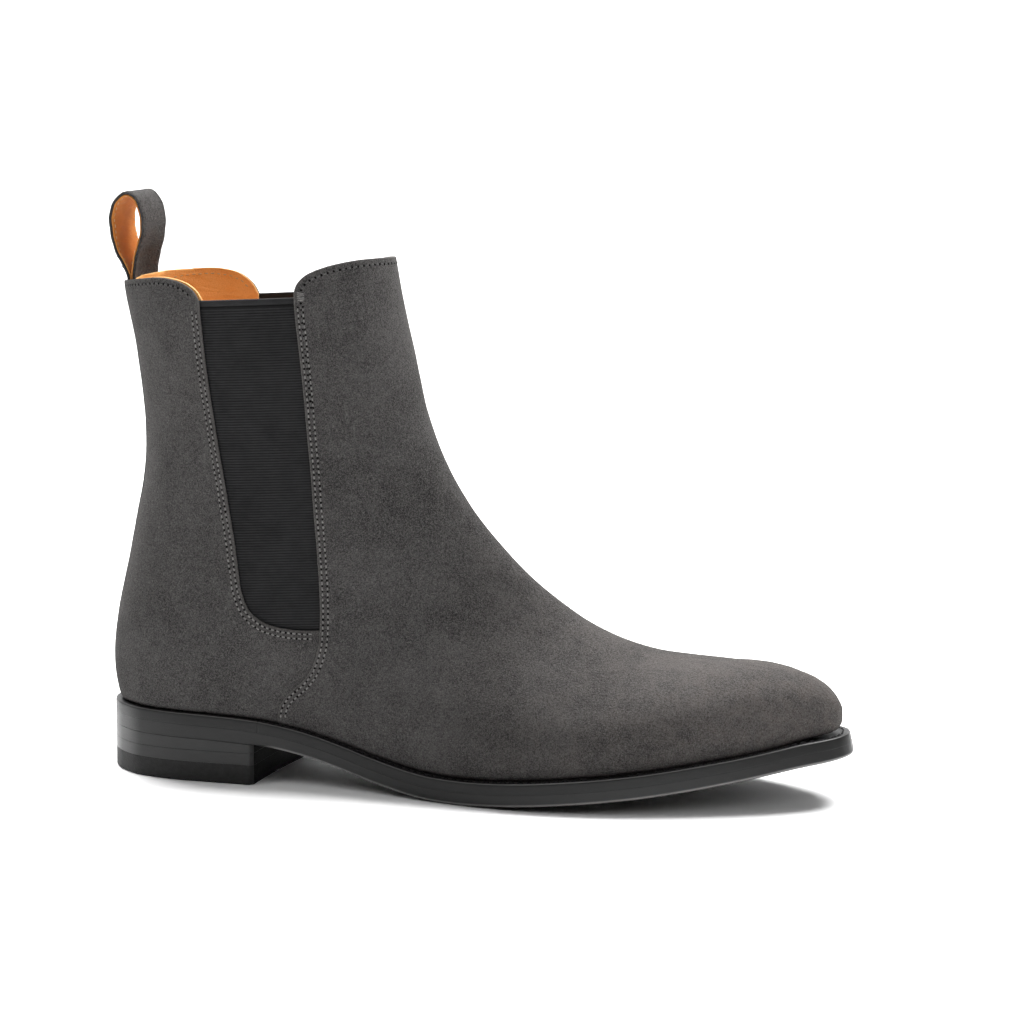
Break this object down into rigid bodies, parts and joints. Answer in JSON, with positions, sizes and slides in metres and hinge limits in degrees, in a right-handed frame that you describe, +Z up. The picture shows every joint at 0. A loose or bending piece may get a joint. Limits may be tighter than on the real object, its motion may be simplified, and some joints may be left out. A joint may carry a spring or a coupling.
{
  "type": "chelsea boot",
  "caption": "Right chelsea boot in suede: elastic side gores, pull loop, welted leather sole, stacked low heel; the shaft's back tips to open the mouth.",
  "frame": {"origin": "centre of the heel's ground face", "axes": "+X towards the toe, +Y towards the medial side, +Z up"},
  "size_m": [0.2997, 0.1015, 0.2273],
  "materials": {
    "suede": "napped suede, charcoal grey",
    "strap_suede": "napped suede, charcoal grey",
    "elastic": "ribbed woven elastic, black",
    "lining_leather": "smooth, tan",
    "strap_lining": "smooth, tan",
    "interlining": "woven cotton",
    "counter_board": "firm leatherboard",
    "welt_leather": "waxed black edge",
    "sole_leather": "waxed black edge",
    "heel_leather": "stacked, waxed black",
    "heel_rubber": "satin black",
    "insole_board": "vegetable tanned",
    "sock_leather": "smooth, tan",
    "foam": "latex foam",
    "cork": "granulated cork",
    "spring_steel": "ground",
    "nail_steel": "bright"
  },
  "bodies": {
    "root": {"vamp": "suede", "quarter_lateral_heel": "suede", "quarter_medial_heel": "suede", "backstay_heel": "suede", "gore_lateral": "elastic", "gore_medial": "elastic", "heel_counter": "counter_board", "toe_puff": "counter_board", "vamp_interlining": "interlining", "vamp_lining": "lining_leather", "heel_lining": "lining_leather", "welt": "welt_leather", "heel_seat_rand": "welt_leather", "shank": "spring_steel", "cork_filler": "cork", "heel_pad": "foam", "insole": "insole_board", "sock_liner": "sock_leather", "heel_top_piece": "heel_rubber", "heel_lift_lower": "heel_leather", "heel_lift_upper": "heel_leather", "outsole": "sole_leather", "heel_nails": "nail_steel", "top_piece_nails": "nail_steel"},
    "shaft_back": {"quarter_lateral": "suede", "quarter_medial": "suede", "backstay": "suede", "quarter_interlining_lateral": "interlining", "quarter_interlining_medial": "interlining", "quarter_lining_lateral": "lining_leather", "quarter_lining_medial": "lining_leather", "pull_loop_tails": "strap_suede"},
    "pull_loop": {"pull_loop": "strap_suede", "pull_loop_lining": "strap_lining"}
  },
  "joints": [
    {"name": "shaft_open", "type": "hinge", "parent": "root", "child": "shaft_back", "pos_m": [-0.0291, 0, 0.086], "axis": [0, -1, 0], "range_deg": [0, 8], "stiffness_Nm_per_rad": 6, "deforming": ["gore_lateral", "gore_medial"]},
    {"name": "pull_loop_fold", "type": "hinge", "parent": "shaft_back", "child": "pull_loop", "pos_m": [-0.0249, 0, 0.1964], "axis": [0, 1, 0], "range_deg": [-70, 60], "stiffness_Nm_per_rad": 0.05}
  ]
}
